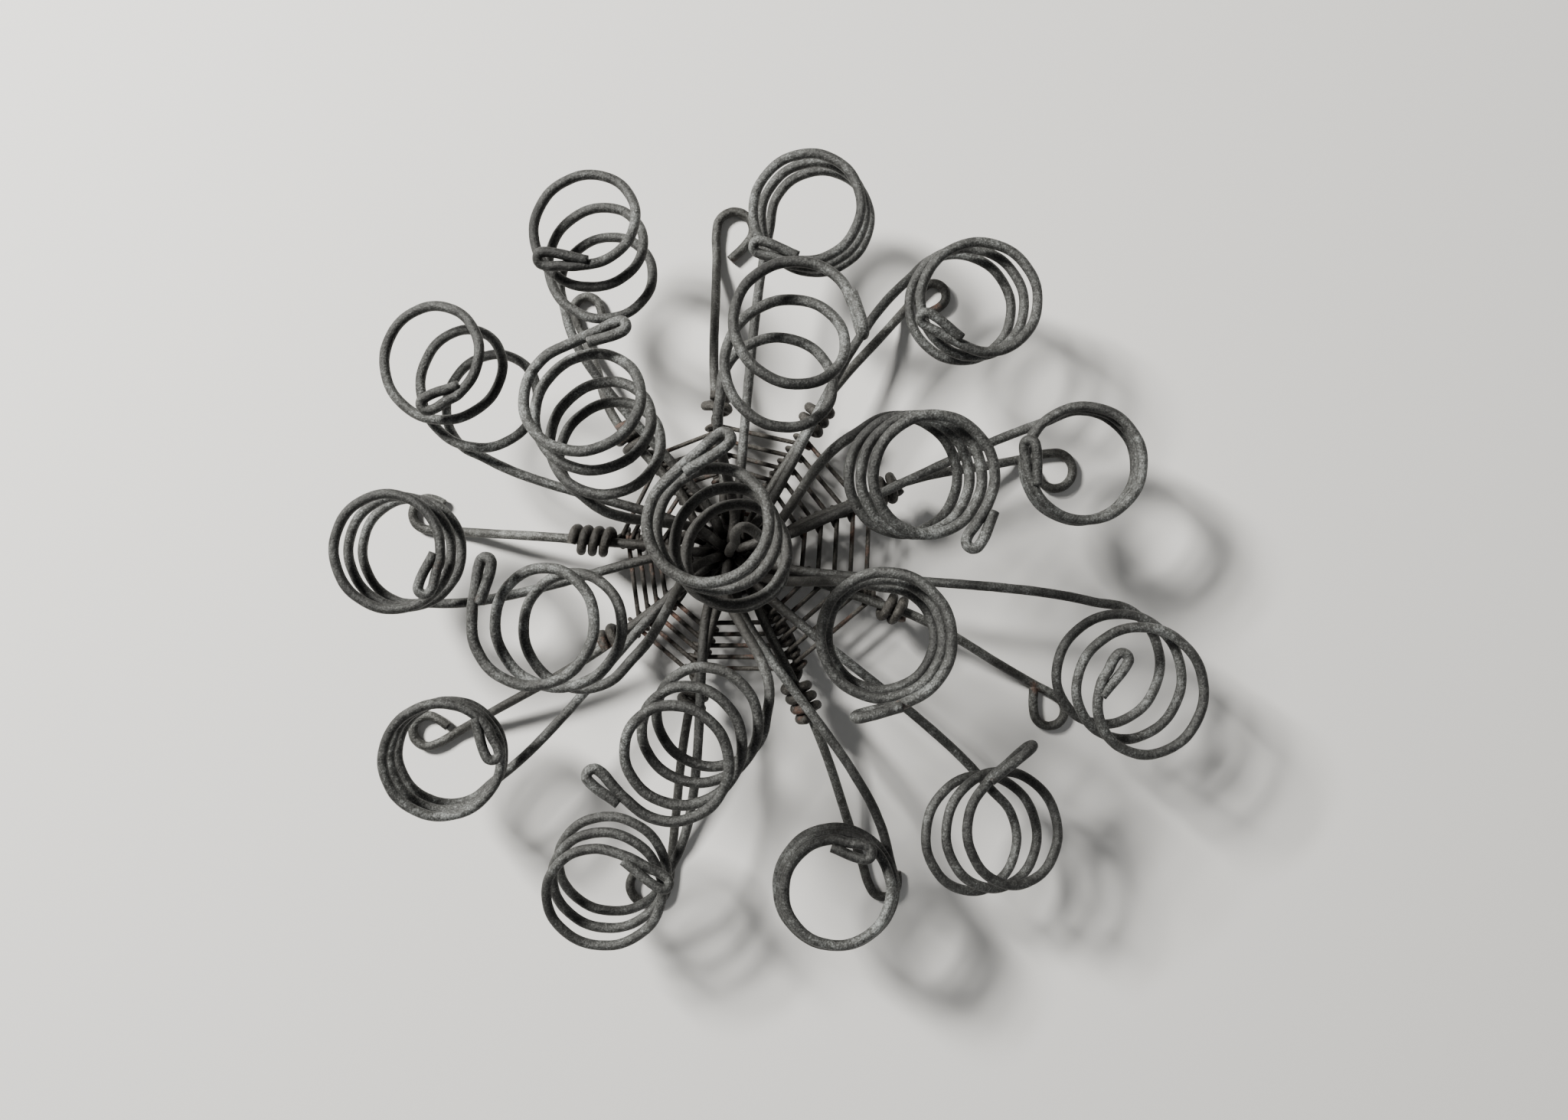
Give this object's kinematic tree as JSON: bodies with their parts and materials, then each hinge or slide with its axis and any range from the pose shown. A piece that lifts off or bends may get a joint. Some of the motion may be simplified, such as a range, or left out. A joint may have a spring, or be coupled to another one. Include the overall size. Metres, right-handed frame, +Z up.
{
  "type": "wire flower holder",
  "caption": "Wirework flower holder: hooked spokes and a woven wire web at a tied hub, with tiers of spiral stem holders on bent wire arms.",
  "frame": {"origin": "on the hub's axis at the surface that the hooks and the hub rest on, at the cut lower end of the centre holder's stem", "axes": "+Z up along the hub towards the flowers, +X towards the fourth and fifth spokes, +Y towards the third spoke"},
  "size_m": [0.2269, 0.2097, 0.0842],
  "materials": {
    "holder_wire": "dull weathered galvanised zinc, grey blue to dark brown, with chalky white patches",
    "spoke_wire": "dull weathered galvanised zinc, a little cleaner than the rods",
    "rod_wire": "dark brown patina on weathered galvanised wire",
    "weft_wire": "thin galvanised wire, dull, rusting in stretches",
    "binding_wire": "thin galvanised wire, dull, dark"
  },
  "bodies": {
    "root": {"spoke_1": "spoke_wire", "spoke_2": "spoke_wire", "spoke_3": "spoke_wire", "spoke_4": "spoke_wire", "spoke_5": "spoke_wire", "spoke_6": "spoke_wire", "spoke_7": "spoke_wire", "spoke_8": "spoke_wire", "spoke_9": "spoke_wire", "rod_1": "rod_wire", "rod_2": "rod_wire", "rod_3": "rod_wire", "rod_4": "rod_wire", "rod_5": "rod_wire", "rod_6": "rod_wire", "rod_7": "rod_wire", "rod_8": "rod_wire", "rod_9": "rod_wire", "web": "weft_wire", "hub_binding": "binding_wire", "holder_outer_1": "holder_wire", "holder_outer_2": "holder_wire", "holder_outer_3": "holder_wire", "holder_outer_4": "holder_wire", "holder_outer_5": "holder_wire", "holder_outer_6": "holder_wire", "holder_outer_7": "holder_wire", "holder_outer_8": "holder_wire", "holder_outer_9": "holder_wire", "holder_outer_10": "holder_wire", "holder_outer_11": "holder_wire", "holder_middle_1": "holder_wire", "holder_middle_2": "holder_wire", "holder_middle_3": "holder_wire", "holder_middle_4": "holder_wire", "holder_middle_5": "holder_wire", "holder_middle_6": "holder_wire", "holder_centre": "holder_wire"}
  },
  "joints": []
}
